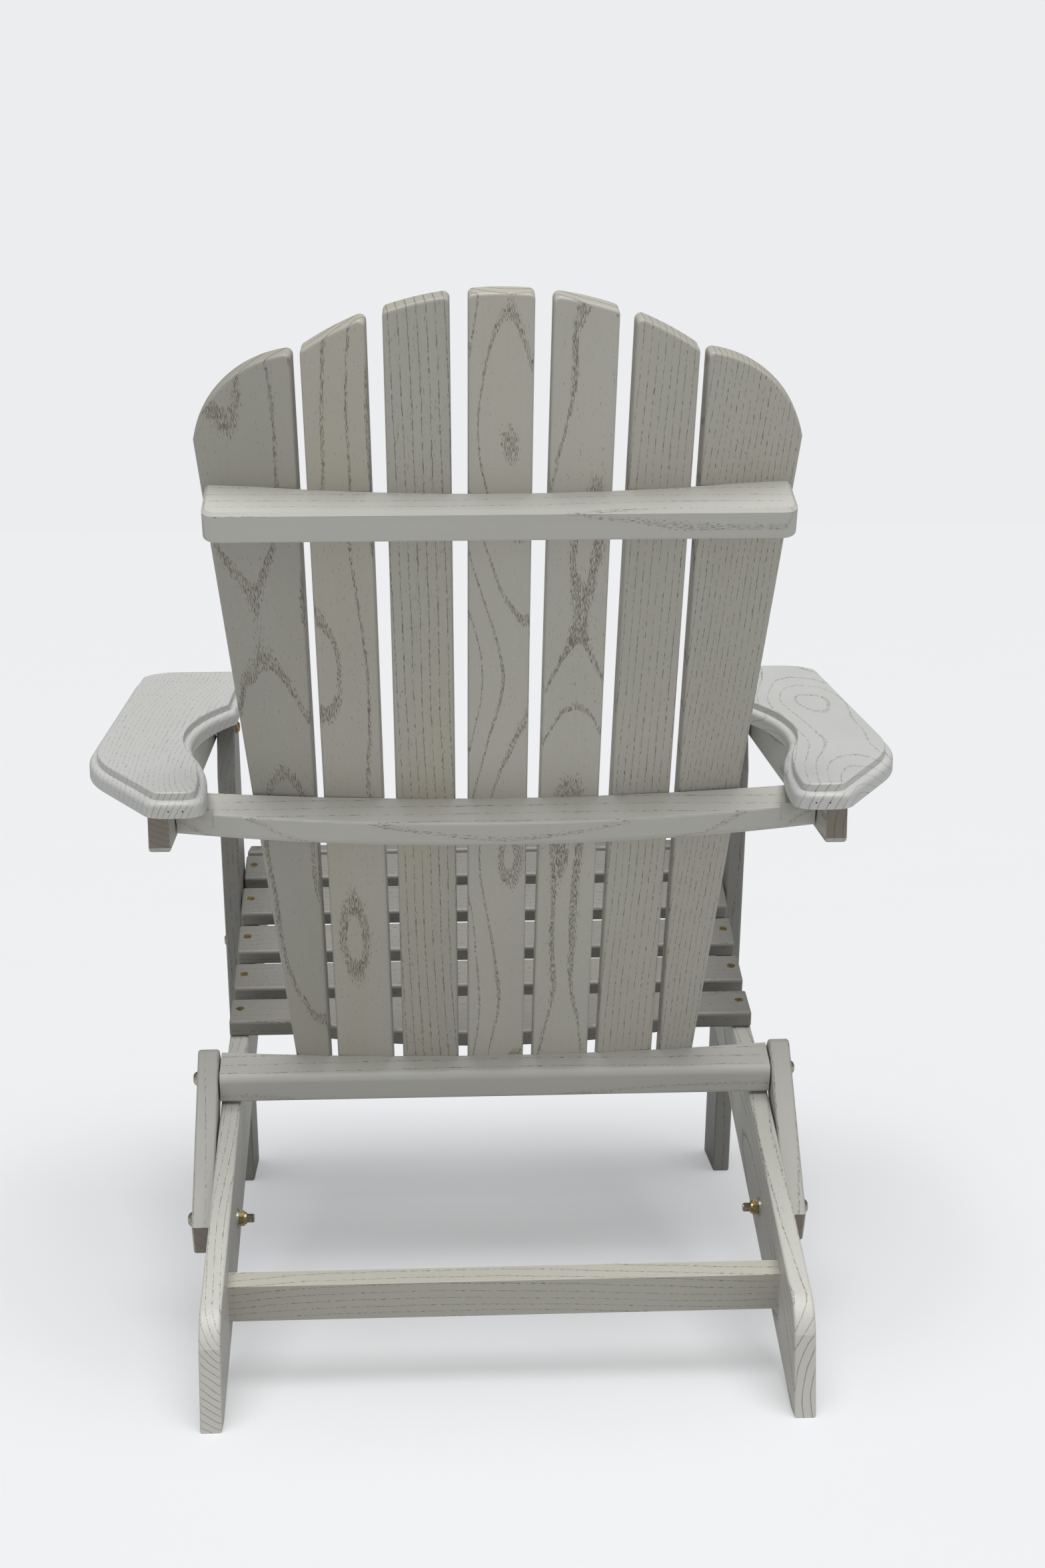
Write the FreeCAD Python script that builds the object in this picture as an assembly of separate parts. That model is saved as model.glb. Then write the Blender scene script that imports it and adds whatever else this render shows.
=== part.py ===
import FreeCAD, Part
import math
import os

# Folding garden chair with a reclined fan back, wide arms and a slatted seat.
# Everything is drawn in the chair's normal sitting position, in millimetres.
# The sitter faces -Y, +X is the sitter's left hand, +Z is up, the floor is Z = 0.
# Side-view positions are given as (forward, height): forward is measured from the
# heels of the rear feet towards the front.

Vector = FreeCAD.Vector

# ------------------------------------------------------------------ overall
HEEL_Y = 374.4              # where the rear heels stand, so the chair is centred on Y = 0
SEAT_WIDTH = 520.0          # over the outer faces of the two stringers
BOARD = 18.5                # thickness of stringers, legs and arm bars
LINK_BOARD = 20.0           # thickness of the rear links
EDGE = 2.5                  # eased edge on the boards

# ------------------------------------------------------------------ hardware
BOLT_RADIUS = 4.0
BOLT_RUNNING_HOLE = 4.05    # hole of a board that turns on its bolt
BOLT_HEAD_RADIUS = 7.0
BOLT_HEAD_HEIGHT = 4.4
SOCKET_ACROSS_FLATS = 5.0
SOCKET_DEPTH = 2.6
NUT_ACROSS_FLATS = 13.0
NUT_HEX_HEIGHT = 5.2
NUT_HEIGHT = 7.0
NUT_COLLAR_RADIUS = 5.6
NUT_CHAMFER = 0.9
WASHER_RADIUS = 8.5
WASHER_HOLE = 4.25
NUT_WASHER = 1.6
RUNNING_GAP = 0.3           # left between a part that turns and its washer or bolt head
SINGLE_GAP = 1.6            # space filled by one thin washer
DOUBLE_GAP = 3.2            # space filled by one thick washer
INSERT_RADIUS = 6.0
INSERT_LENGTH = 15.0
RAIL_BOLT_LENGTH = 35.0
LEG_BOLT_LENGTH = 50.0
LINK_BOLT_LENGTH = 56.0
BOLT_TIP_CHAMFER = 0.8
SCREW_HEAD_RADIUS = 4.4
SCREW_HEAD_DEPTH = 2.4
SCREW_SHANK_RADIUS = 1.9
SCREW_POINT = 4.0
SEAT_SCREW_LENGTH = 38.0
STRETCHER_SCREW_LENGTH = 50.0
BACK_SCREW_LENGTH = 36.0
ARM_SCREW_LENGTH = 50.0
CROSS_ARM = 2.2
CROSS_WIDTH = 0.8
CROSS_DEPTH = 1.4
NAIL_RADIUS = 0.8
NAIL_LENGTH = 22.0

# ------------------------------------------------------------------ sideways stations
STRINGER_OUT = SEAT_WIDTH / 2
STRINGER_IN = STRINGER_OUT - BOARD
LEG_IN = STRINGER_OUT + SINGLE_GAP
LEG_OUT = LEG_IN + BOARD
LINK_IN = STRINGER_OUT + SINGLE_GAP
LINK_OUT = LINK_IN + LINK_BOARD
BAR_IN = LEG_OUT + DOUBLE_GAP
BAR_OUT = BAR_IN + BOARD
LOWER_RAIL_HALF = LINK_IN - SINGLE_GAP
MIDDLE_RAIL_HALF = BAR_IN - SINGLE_GAP

# ------------------------------------------------------------------ pivots (forward, height)
LINK_FOOT = (206.0, 118.0)      # link on stringer
LINK_HEAD = (289.0, 228.5)      # link on lower back rail
BACK_ARM = (172.0, 498.0)       # middle back rail on arm bar
LEG_ARM = (580.0, 531.0)        # front leg on arm bar
LEG_SEAT = (651.0, 288.0)       # front leg on stringer

# ------------------------------------------------------------------ seat frame
STRINGER_SLOPE = 22.6           # degrees, rising to the front
STRINGER_DEPTH = 91.0
HEEL_TOP = (18.0, 97.5)
HEEL_FLAT = 21.0                # length of the rear foot on the floor
HEEL_ROUND = 26.0
STRAIGHT_END = 300.0            # the straight top edge ends here, the seat curve begins
NOSE_FORWARD = 742.0
SEAT_CURVE = ((392.7, 242.7), (455.8, 262.6), (516.9, 288.4), (575.3, 317.6), (633.6, 345.0),
              (688.0, 363.5), (NOSE_FORWARD - 5.0, 361.0))
NOSE_BOTTOM = (694.0, 278.5)
SLAT_THICKNESS = 17.0
SEAT_SLAT_WIDTH = 48.0
SEAT_SLAT_ROUND = 3.5
SEAT_SLAT_END_ROUND = 2.0
SEAT_SCREW_FORWARD = 27.0       # from the slat's rear edge
REAR_SLAT_BOW = 29.0            # the rear slat's rear edge bows towards the back
REAR_SLAT_BOW_HALF = 195.0
# rear top corner of each seat slat and its slope, from the rear slat to the front slat
SEAT_SLATS = ((388.0, 259.0, 15.5), (449.8, 278.6, 20.5), (509.9, 303.9, 24.5),
              (567.8, 333.0, 26.0), (626.8, 360.9, 22.5), (686.5, 380.8, -2.0))
STRETCHER_HEIGHT = 40.0
STRETCHER_TOP_REAR = (83.0, 97.0)

# ------------------------------------------------------------------ front legs and links
LEG_WIDTH = 76.0
LEG_TOP_REACH = 18.0            # the leg stops this far above its arm pivot
LEG_TOP_RELIEF = 24.0           # slope of the relieved rear top corner, against the leg
LINK_WIDTH = 34.0
LINK_TOP_END = 25.0             # board beyond the upper pivot
LINK_FOOT_FRONT = 29.0          # board beyond the lower pivot, cut on the slant
LINK_FOOT_REAR = 13.8
LINK_TOP_CORNER = 8.0
LINK_FOOT_CORNER = 3.0

# ------------------------------------------------------------------ back
RECLINE = 24.6                  # degrees from upright
BACK_FOOT = (290.0, 242.0)      # rear face of the middle slat, level with the lower rail's top
LOWER_RAIL_UP = 4.5             # top faces of the three rails, measured up the back
MIDDLE_RAIL_UP = 295.2
UPPER_RAIL_UP = 590.4
LOWER_RAIL_THICK = 30.5
MIDDLE_RAIL_THICK = 26.0
UPPER_RAIL_THICK = 27.0
LOWER_RAIL_REAR = 27.0          # rear edge behind the slats
MIDDLE_RAIL_REAR = 15.0
MIDDLE_RAIL_BOW = 26.0          # the middle rail's rear edge bows out this much more
UPPER_RAIL_REAR = 33.5
UPPER_RAIL_HALF = 241.5
UPPER_RAIL_CORNER = 12.0
LOWER_RAIL_HOLLOW = 2885.0      # radii of the hollow front edges that carry the slats
MIDDLE_RAIL_HOLLOW = 2187.0
UPPER_RAIL_HOLLOW = 1186.0
LOWER_RAIL_ROUNDS = (7.0, 5.0)  # rounding of the rear edge, above and below
MIDDLE_RAIL_ROUNDS = (2.0, 7.5)
UPPER_RAIL_CHAMFER = 3.0        # crisp top edge
UPPER_RAIL_ROUND = 3.0          # rounded bottom edge
RAIL_TURNED_FROM = 249.0        # the middle rail's ends are turned down beyond this place
RAIL_TURNED_RADIUS = 19.2       # so that they clear the arm board while folding
BACK_BOTTOM = -24.0             # lower ends of the slats
BACK_TOP = 761.0                # top of the middle slat
BACK_ARCH = 270.0               # radius of the arch over the middle slats
SHOULDER_START = 162.5         # sideways place where the arch meets the outer slats' shoulders
SHOULDER_MIDDLE = (219.0, 681.0)
SHOULDER_END = (248.8, 629.0)
BACK_FOOT_HALF = 186.5          # half width of the back at its lower end
BACK_SLAT_WIDTH = 52.5
SLAT_CENTRES_LOW = (0.0, 61.5, 123.5)
SLAT_CENTRES_HIGH = (0.0, 66.0, 131.5)
OUTER_SLAT_INNER_LOW = 157.2
OUTER_SLAT_INNER_HIGH = 165.2
BACK_SLAT_ROUND = 2.5
BACK_SLAT_CORNER = 5.0          # rounded upper corners of the slats

# ------------------------------------------------------------------ arms
ARM_SLOPE = 5.0                 # degrees, rising to the front
ARM_REAR = (80.0, 510.0)        # underside of the arm board near its rear tip
ARM_THICKNESS = 21.0
ARM_LIP = 14.0                  # height of the outer rim below the routed step
ARM_STEP = 7.5                  # width of the routed step
ARM_RIM_ROUND = 5.0
ARM_TABLE_ROUND = 1.5
ARM_INNER = 252.5
ARM_OUTER = 371.5
ARM_FRONT = 680.0
ARM_OUTER_CORNER = 44.0
ARM_INNER_CORNER = 22.0
ARM_SIDE_END = 285.0            # the straight outer edge ends here
ARM_COVE_START = (ARM_INNER, 482.0)
# (sideways, forward) middle and end of each arc round the narrow rear tip and the hollow inner edge
ARM_SIDE_ARC = ((365.2, 230.4), (346.7, 178.6))
ARM_TIP_OUTER = ((301.4, 87.0), (294.1, 79.0), (283.7, 76.0))
ARM_TIP_INNER = ((270.0, 76.0), (256.6, 81.6), (251.0, 95.0))
ARM_TAIL_ARC = ((255.5, 170.6), (268.8, 245.0))
ARM_COVE_MIDDLE = (283.0, 352.0)
BAR_HEIGHT = 39.0
BAR_REAR = 112.0
BAR_FRONT = 640.0
BAR_REAR_CHAMFER = 4.5
BAR_FRONT_CHAMFER = 20.0
ARM_SCREWS = (215.0, 390.0, 625.0)
POCKET_DEPTH = 14.5
POCKET_RADIUS = 10.6
POCKET_SHIFT = (5.2, -2.9)      # centre of the pocket from the leg pivot (forward, up)

LEFT = 1
RIGHT = -1
SIDES = {"left": LEFT, "right": RIGHT}


# =================================================================== frames
def at(x, forward, height):
    """Point of the chair from its side-view position."""
    return Vector(x, HEEL_Y - forward, height)


def leaning_frame(forward, height, degrees):
    """Frame whose Y runs rearwards and down, and whose Z runs up and rearwards."""
    turn = FreeCAD.Rotation(Vector(1, 0, 0), -degrees)
    return FreeCAD.Placement(at(0, forward, height), turn)


def back_frame():
    """X sideways, Y behind the slats, Z up the back."""
    return leaning_frame(BACK_FOOT[0], BACK_FOOT[1], RECLINE)


def arm_frame():
    """X sideways, Y rearwards along the arm, Z up from the arm board's underside."""
    return leaning_frame(ARM_REAR[0], ARM_REAR[1], ARM_SLOPE)


def placed(shape, frame):
    copy = shape.copy()
    copy.Placement = frame.multiply(copy.Placement)
    return copy


def mirrored(shape):
    return shape.mirror(Vector(0, 0, 0), Vector(1, 0, 0))


def on_side(shape, side):
    return shape if side == LEFT else mirrored(shape)


# =================================================================== drawing helpers
def line(start, end):
    return Part.LineSegment(start, end).toShape()


def arc(start, middle, end):
    return Part.Arc(start, middle, end).toShape()


def spline(points):
    curve = Part.BSplineCurve()
    curve.interpolate(points)
    return curve.toShape()


def prism(edges, direction):
    face = Part.Face(Part.Wire(edges))
    return face.extrude(direction)


def board(edges, inner_x, outer_x):
    """Side-view outline, drawn at x = 0, cut from a board between two sideways stations."""
    solid = prism(edges, Vector(outer_x - inner_x, 0, 0))
    solid.translate(Vector(inner_x, 0, 0))
    return solid


def eased(solid, axis, radius):
    """Round the outline edges on the two broad faces that are square to the axis."""
    rim = []
    for face in solid.Faces:
        middle = face.ParameterRange
        normal = face.normalAt((middle[0] + middle[1]) / 2, (middle[2] + middle[3]) / 2)
        if abs(normal.dot(axis)) > 0.999:
            rim.extend(face.OuterWire.Edges)
    return solid.makeFillet(radius, rim)


def rod(radius, length, base, direction):
    return Part.makeCylinder(radius, length, base, direction)


def side_hole(pivot, radius, inner_x, outer_x):
    """Sideways hole through everything between two stations."""
    margin = 1.0
    return rod(radius, outer_x - inner_x + 2 * margin, at(inner_x - margin, *pivot), Vector(1, 0, 0))


def direction_between(start, end):
    run = end[0] - start[0]
    rise = end[1] - start[1]
    length = math.hypot(run, rise)
    return run / length, rise / length


# =================================================================== fasteners
def hexagon(across_flats, height):
    """Hexagonal prism along +Z from the origin."""
    radius = across_flats / math.sqrt(3)
    corners = []
    for step in range(7):
        angle = math.radians(60 * step)
        corners.append(Vector(radius * math.cos(angle), radius * math.sin(angle), 0))
    return Part.Face(Part.makePolygon(corners)).extrude(Vector(0, 0, height))


def turned_to(shape, base, direction):
    """Move a shape drawn along +Z so that it runs from the base along the direction."""
    turn = FreeCAD.Rotation(Vector(0, 0, 1), direction)
    return placed(shape, FreeCAD.Placement(base, turn))


def button_bolt(length, seat, direction):
    """Dome-headed bolt. Its shank runs from the seat point along the direction."""
    rim = Vector(BOLT_HEAD_RADIUS, 0, 0)
    shoulder = Vector(BOLT_HEAD_RADIUS * 0.78, 0, -BOLT_HEAD_HEIGHT * 0.72)
    crown = Vector(BOLT_HEAD_RADIUS * 0.5, 0, -BOLT_HEAD_HEIGHT)
    centre = Vector(0, 0, -BOLT_HEAD_HEIGHT)
    outline = [line(Vector(0, 0, 0), rim), arc(rim, shoulder, crown), line(crown, centre),
               line(centre, Vector(0, 0, 0))]
    head = Part.Face(Part.Wire(outline)).revolve(Vector(0, 0, 0), Vector(0, 0, 1), 360)
    socket = hexagon(SOCKET_ACROSS_FLATS, SOCKET_DEPTH)
    socket.translate(Vector(0, 0, -BOLT_HEAD_HEIGHT))
    shank = Part.makeCylinder(BOLT_RADIUS, length)
    tip = [e for e in shank.Edges if e.Closed and e.CenterOfMass.z > length / 2]
    shank = shank.makeChamfer(BOLT_TIP_CHAMFER, tip)
    bolt = head.cut(socket).fuse(shank).removeSplitter()
    return turned_to(bolt, seat, direction)


def lock_nut(seat, direction):
    """Hexagon nut with a round collar, standing on the seat point."""
    chamfered = Part.makeCylinder(NUT_ACROSS_FLATS / math.sqrt(3), NUT_HEX_HEIGHT)
    rims = [e for e in chamfered.Edges if e.Closed]
    chamfered = chamfered.makeChamfer(NUT_CHAMFER, rims)
    hexagonal = hexagon(NUT_ACROSS_FLATS, NUT_HEX_HEIGHT).common(chamfered)
    collar = Part.makeCylinder(NUT_COLLAR_RADIUS, NUT_HEIGHT)
    bore = Part.makeCylinder(BOLT_RADIUS, NUT_HEIGHT)
    return turned_to(hexagonal.fuse(collar).cut(bore).removeSplitter(), seat, direction)


def washer(thickness, seat, direction):
    ring = Part.makeCylinder(WASHER_RADIUS, thickness)
    ring = ring.cut(Part.makeCylinder(WASHER_HOLE, thickness))
    return turned_to(ring, seat, direction)


def threaded_insert(seat, direction):
    tube = Part.makeCylinder(INSERT_RADIUS, INSERT_LENGTH)
    tube = tube.cut(Part.makeCylinder(BOLT_RADIUS, INSERT_LENGTH))
    return turned_to(tube, seat, direction)


def wood_screw(length, seat, direction):
    """Countersunk cross-head screw, head flush with the seat point."""
    head = Part.makeCone(SCREW_HEAD_RADIUS, SCREW_SHANK_RADIUS, SCREW_HEAD_DEPTH)
    shank = Part.makeCylinder(SCREW_SHANK_RADIUS, length - SCREW_POINT)
    point = Part.makeCone(SCREW_SHANK_RADIUS, 0.3, SCREW_POINT, Vector(0, 0, length - SCREW_POINT))
    screw = head.fuse(shank).fuse(point)
    for size in ((2 * CROSS_ARM, CROSS_WIDTH), (CROSS_WIDTH, 2 * CROSS_ARM)):
        slot = Part.makeBox(size[0], size[1], CROSS_DEPTH, Vector(-size[0] / 2, -size[1] / 2, 0))
        screw = screw.cut(slot)
    return turned_to(screw.removeSplitter(), seat, direction)


def screw_hole(length, seat, direction):
    """The space a wood screw fills."""
    head = Part.makeCone(SCREW_HEAD_RADIUS, SCREW_SHANK_RADIUS, SCREW_HEAD_DEPTH)
    shank = Part.makeCylinder(SCREW_SHANK_RADIUS, length)
    return turned_to(head.fuse(shank), seat, direction)


def drilled(solid, holes):
    return solid.cut(Part.makeCompound(holes)) if holes else solid


# =================================================================== seat frame
def seat_slat_blank(slat):
    """Plain slat resting on the stringers, before its screw holes."""
    forward, height, slope = slat
    length = 2 * STRINGER_OUT
    half = STRINGER_OUT
    corners = [Vector(half, 0, 0), Vector(half, -SEAT_SLAT_WIDTH, 0), Vector(-half, -SEAT_SLAT_WIDTH, 0),
               Vector(-half, 0, 0)]
    outline = [line(corners[0], corners[1]), line(corners[1], corners[2]), line(corners[2], corners[3])]
    if slat == SEAT_SLATS[0]:
        bow_left = Vector(REAR_SLAT_BOW_HALF, 0, 0)
        bow_right = Vector(-REAR_SLAT_BOW_HALF, 0, 0)
        outline.append(line(corners[3], bow_right))
        outline.append(arc(bow_right, Vector(0, REAR_SLAT_BOW, 0), bow_left))
        outline.append(line(bow_left, corners[0]))
    else:
        outline.append(line(corners[3], corners[0]))
    block = prism(outline, Vector(0, 0, -SLAT_THICKNESS))
    long_edges = []
    for edge in block.Edges:
        level = abs(edge.tangentAt(edge.FirstParameter).z) < 0.1
        if level and abs(edge.CenterOfMass.x) < length / 2 - 1.0:
            long_edges.append(edge)
    block = block.makeFillet(SEAT_SLAT_ROUND, long_edges)
    ends = []
    for edge in block.Edges:
        if abs(edge.CenterOfMass.x) > length / 2 - 0.1 and edge.CenterOfMass.z > -0.1:
            ends.append(edge)
    return placed(block.makeFillet(SEAT_SLAT_END_ROUND, ends), leaning_frame(forward, height, slope))


def seat_screw_places(slat):
    forward, height, slope = slat
    frame = leaning_frame(forward, height, slope)
    x = (STRINGER_IN + STRINGER_OUT) / 2
    down = frame.Rotation.multVec(Vector(0, 0, -1))
    return [(frame.multVec(Vector(side * x, -SEAT_SCREW_FORWARD, 0)), down) for side in (LEFT, RIGHT)]


def seat_screws():
    places = [place for slat in SEAT_SLATS for place in seat_screw_places(slat)]
    return [wood_screw(SEAT_SCREW_LENGTH, seat, down) for seat, down in places]


def seat_screw_holes():
    places = [place for slat in SEAT_SLATS for place in seat_screw_places(slat)]
    return [screw_hole(SEAT_SCREW_LENGTH, seat, down) for seat, down in places]


def seat_slat(slat):
    holes = [screw_hole(SEAT_SCREW_LENGTH, seat, down) for seat, down in seat_screw_places(slat)]
    return drilled(seat_slat_blank(slat), holes)


def stringer_outline():
    """Rear foot, straight rear half, curved seat half and rounded nose."""
    rise = math.tan(math.radians(STRINGER_SLOPE))
    straight_end = at(0, STRAIGHT_END, HEEL_TOP[1] + (STRAIGHT_END - HEEL_TOP[0]) * rise)
    top_start = at(0, HEEL_TOP[0] + HEEL_ROUND * 0.55, HEEL_TOP[1] + HEEL_ROUND * 0.55 * rise)
    heel = at(0, 0.0, 0.0)
    heel_high = at(0, 4.0, HEEL_TOP[1] - HEEL_ROUND)
    heel_round = at(0, 13.0, HEEL_TOP[1] - 6.5)
    toe = at(0, HEEL_FLAT, 0.0)
    seat_start = spline([straight_end] + [at(0, *p) for p in SEAT_CURVE])
    nose_top = at(0, *SEAT_CURVE[-1])
    nose_front = at(0, NOSE_FORWARD - 8.0, 316.0)
    nose_bottom = at(0, *NOSE_BOTTOM)
    return [line(toe, heel), line(heel, heel_high), arc(heel_high, heel_round, top_start),
            line(top_start, straight_end), seat_start, arc(nose_top, nose_front, nose_bottom),
            line(nose_bottom, toe)]


def stretcher_blank():
    turn = FreeCAD.Rotation(Vector(1, 0, 0), -STRINGER_SLOPE)
    frame = FreeCAD.Placement(at(0, *STRETCHER_TOP_REAR), turn)
    block = Part.makeBox(2 * STRINGER_IN, BOARD, STRETCHER_HEIGHT,
                         Vector(-STRINGER_IN, -BOARD, -STRETCHER_HEIGHT))
    return placed(block, frame)


def stretcher_screw_places():
    turn = FreeCAD.Rotation(Vector(1, 0, 0), -STRINGER_SLOPE)
    frame = FreeCAD.Placement(at(0, *STRETCHER_TOP_REAR), turn)
    places = []
    for side in (LEFT, RIGHT):
        for down in (11.0, 29.0):
            seat = frame.multVec(Vector(side * STRINGER_OUT, -BOARD / 2, -down))
            places.append((seat, Vector(-side, 0, 0)))
    return places


def stretcher_screws():
    return [wood_screw(STRETCHER_SCREW_LENGTH, seat, inward) for seat, inward in stretcher_screw_places()]


def stretcher_screw_holes():
    return [screw_hole(STRETCHER_SCREW_LENGTH, seat, inward) for seat, inward in stretcher_screw_places()]


def rear_stretcher():
    return drilled(stretcher_blank(), stretcher_screw_holes())


def stringer(side):
    solid = board(stringer_outline(), STRINGER_IN, STRINGER_OUT)
    solid = on_side(eased(solid, Vector(1, 0, 0), EDGE), side)
    for slat in SEAT_SLATS:
        solid = solid.cut(seat_slat_blank(slat))
    bolts = []
    for pivot in (LINK_FOOT, LEG_SEAT):
        bolts.append(on_side(side_hole(pivot, BOLT_RADIUS, STRINGER_IN, STRINGER_OUT), side))
    return drilled(solid, bolts + seat_screw_holes() + stretcher_screw_holes())


def seat_bolts(pivot, head_x, length):
    """The two bolts that carry a pair of legs or links, heads outside."""
    head_x += RUNNING_GAP
    return [button_bolt(length, at(side * head_x, *pivot), Vector(-side, 0, 0)) for side in (LEFT, RIGHT)]


def seat_nuts():
    nuts = []
    for pivot in (LINK_FOOT, LEG_SEAT):
        for side in (LEFT, RIGHT):
            seat = at(side * (STRINGER_IN - NUT_WASHER), *pivot)
            nuts.append(lock_nut(seat, Vector(-side, 0, 0)))
    return nuts


def seat_washers():
    """Washers under the nuts and between the stringers and the parts that turn."""
    rings = []
    for side in (LEFT, RIGHT):
        for pivot in (LINK_FOOT, LEG_SEAT):
            rings.append(washer(NUT_WASHER, at(side * STRINGER_IN, *pivot), Vector(-side, 0, 0)))
        outward = Vector(side, 0, 0)
        for pivot in (LINK_FOOT, LEG_SEAT):
            rings.append(washer(SINGLE_GAP - RUNNING_GAP, at(side * STRINGER_OUT, *pivot), outward))
    return rings


# =================================================================== front legs
def leg_outline():
    """Raked board with a level foot and a top that clears the arm while it folds."""
    run, rise = direction_between(LEG_SEAT, LEG_ARM)
    rear_run, rear_rise = -rise, run
    half = LEG_WIDTH / 2

    def on_leg(up, rearward):
        return (LEG_ARM[0] + up * run + rearward * rear_run, LEG_ARM[1] + up * rise + rearward * rear_rise)

    def on_floor(rearward):
        edge = on_leg(0.0, rearward)
        return at(0, edge[0] - edge[1] * run / rise, 0.0)

    relief = math.radians(LEG_TOP_RELIEF)
    relief_drop = (half * math.cos(relief) - LEG_TOP_REACH) / math.sin(relief)
    arm = math.radians(ARM_SLOPE)
    rear_high = at(0, *on_leg(-relief_drop, half))
    round_start = at(0, *on_leg(LEG_TOP_REACH * math.sin(relief), LEG_TOP_REACH * math.cos(relief)))
    round_middle = at(0, *on_leg(LEG_TOP_REACH * math.sin(math.radians(62)),
                                 LEG_TOP_REACH * math.cos(math.radians(62))))
    top = (LEG_ARM[0] - LEG_TOP_REACH * math.sin(arm), LEG_ARM[1] + LEG_TOP_REACH * math.cos(arm))
    front_line = on_leg(0.0, -half)
    along = ((front_line[0] - top[0]) * rise - (front_line[1] - top[1]) * run)
    along /= math.cos(arm) * rise - math.sin(arm) * run
    front_high = at(0, top[0] + along * math.cos(arm), top[1] + along * math.sin(arm))
    round_end = at(0, *top)
    return [line(on_floor(-half), on_floor(half)), line(on_floor(half), rear_high),
            line(rear_high, round_start), arc(round_start, round_middle, round_end),
            line(round_end, front_high), line(front_high, on_floor(-half))]


def front_leg(side):
    solid = eased(board(leg_outline(), LEG_IN, LEG_OUT), Vector(1, 0, 0), EDGE)
    turning = side_hole(LEG_SEAT, BOLT_RUNNING_HOLE, LEG_IN, LEG_OUT)
    fixed = side_hole(LEG_ARM, BOLT_RADIUS, LEG_IN, LEG_OUT)
    return on_side(drilled(solid, [turning, fixed]), side)


def leg_arm_bolt(side):
    """Bolt from the inner face of the leg out into the arm bar, with its spacer washer."""
    return button_bolt(RAIL_BOLT_LENGTH, at(side * LEG_IN, *LEG_ARM), Vector(side, 0, 0))


def leg_arm_washer(side):
    return washer(DOUBLE_GAP - RUNNING_GAP, at(side * LEG_OUT, *LEG_ARM), Vector(side, 0, 0))


# =================================================================== rear links
def link_outline(length):
    """Upright board with a rounded top and a slanted foot, its lower pivot at the origin."""
    half = LINK_WIDTH / 2
    corners = [Vector(0, half, -LINK_FOOT_REAR), Vector(0, -half, -LINK_FOOT_FRONT),
               Vector(0, -half, length + LINK_TOP_END), Vector(0, half, length + LINK_TOP_END)]
    return Part.makePolygon(corners + corners[:1]).Edges


def rear_link(side):
    run, rise = direction_between(LINK_FOOT, LINK_HEAD)
    length = math.hypot(LINK_HEAD[0] - LINK_FOOT[0], LINK_HEAD[1] - LINK_FOOT[1])
    link = board(link_outline(length), LINK_IN, LINK_OUT)
    across = [e for e in link.Edges if abs(e.tangentAt(e.FirstParameter).x) > 0.9]
    top = [e for e in across if e.CenterOfMass.z > length]
    link = link.makeFillet(LINK_TOP_CORNER, top)
    foot = [e for e in link.Edges if abs(e.tangentAt(e.FirstParameter).x) > 0.9
            and e.CenterOfMass.z < -LINK_FOOT_REAR - 1.0]
    link = eased(link.makeFillet(LINK_FOOT_CORNER, foot), Vector(1, 0, 0), EDGE)
    lean = math.degrees(math.atan2(run, rise))
    link = placed(link, leaning_frame(LINK_FOOT[0], LINK_FOOT[1], -lean))
    holes = []
    for pivot in (LINK_FOOT, LINK_HEAD):
        holes.append(side_hole(pivot, BOLT_RUNNING_HOLE, LINK_IN, LINK_OUT))
    return on_side(drilled(link, holes), side)


# =================================================================== back
def hollow_depth(x, radius):
    """How far the hollow front edge stands forward of its middle, at a sideways place."""
    return radius - math.sqrt(radius * radius - x * x)


def rail_blank(half, rear_ends, rear_bow, hollow, thickness, top):
    """Rail with a hollow front edge, drawn in the back frame under its top face."""
    front = hollow_depth(half, hollow)
    front_left = Vector(-half, -front, top)
    front_right = Vector(half, -front, top)
    rear_left = Vector(-half, rear_ends, top)
    rear_right = Vector(half, rear_ends, top)
    if rear_bow:
        rear_edge = arc(rear_right, Vector(0, rear_ends + rear_bow, top), rear_left)
    else:
        rear_edge = line(rear_right, rear_left)
    outline = [arc(front_left, Vector(0, 0, top), front_right), line(front_right, rear_right),
               rear_edge, line(rear_left, front_left)]
    return prism(outline, Vector(0, 0, -thickness))


def rear_edges(rail, behind, height):
    """The long edges of a rail's rear face at one height up the back."""
    edges = []
    for edge in rail.Edges:
        middle = edge.CenterOfMass
        if edge.Length > 100 and middle.y > behind and abs(middle.z - height) < 0.1:
            edges.append(edge)
    return edges


def rounded_rail(rail, behind, top, bottom, rounds):
    """Round a rail's rear edge, above and below."""
    rail = rail.makeFillet(rounds[0], rear_edges(rail, behind, top))
    return rail.makeFillet(rounds[1], rear_edges(rail, behind, bottom))


def slat_line(index):
    """Lower and upper points of a slat's middle line on the rails, in the back frame."""
    if abs(index) < 3:
        low = SLAT_CENTRES_LOW[abs(index)]
        high = SLAT_CENTRES_HIGH[abs(index)]
    else:
        low = OUTER_SLAT_INNER_LOW + BACK_SLAT_WIDTH / 2
        high = OUTER_SLAT_INNER_HIGH + BACK_SLAT_WIDTH / 2
    sign = 1 if index >= 0 else -1
    bottom = Vector(sign * low, -hollow_depth(low, LOWER_RAIL_HOLLOW), LOWER_RAIL_UP)
    top = Vector(sign * high, -hollow_depth(high, UPPER_RAIL_HOLLOW), UPPER_RAIL_UP)
    return bottom, top


def slat_frame(index):
    """Frame on the rear face of a slat: X across, Y behind, Z up its middle line."""
    bottom, top = slat_line(index)
    up = (top - bottom).normalize()
    mean_slope = (bottom.x / LOWER_RAIL_HOLLOW + top.x / UPPER_RAIL_HOLLOW) / 2
    across = Vector(1, -mean_slope, 0)
    across = (across - up * across.dot(up)).normalize()
    behind = up.cross(across)
    turn = FreeCAD.Rotation(across, behind, up, "ZXY")
    return FreeCAD.Placement(bottom, turn)


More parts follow.
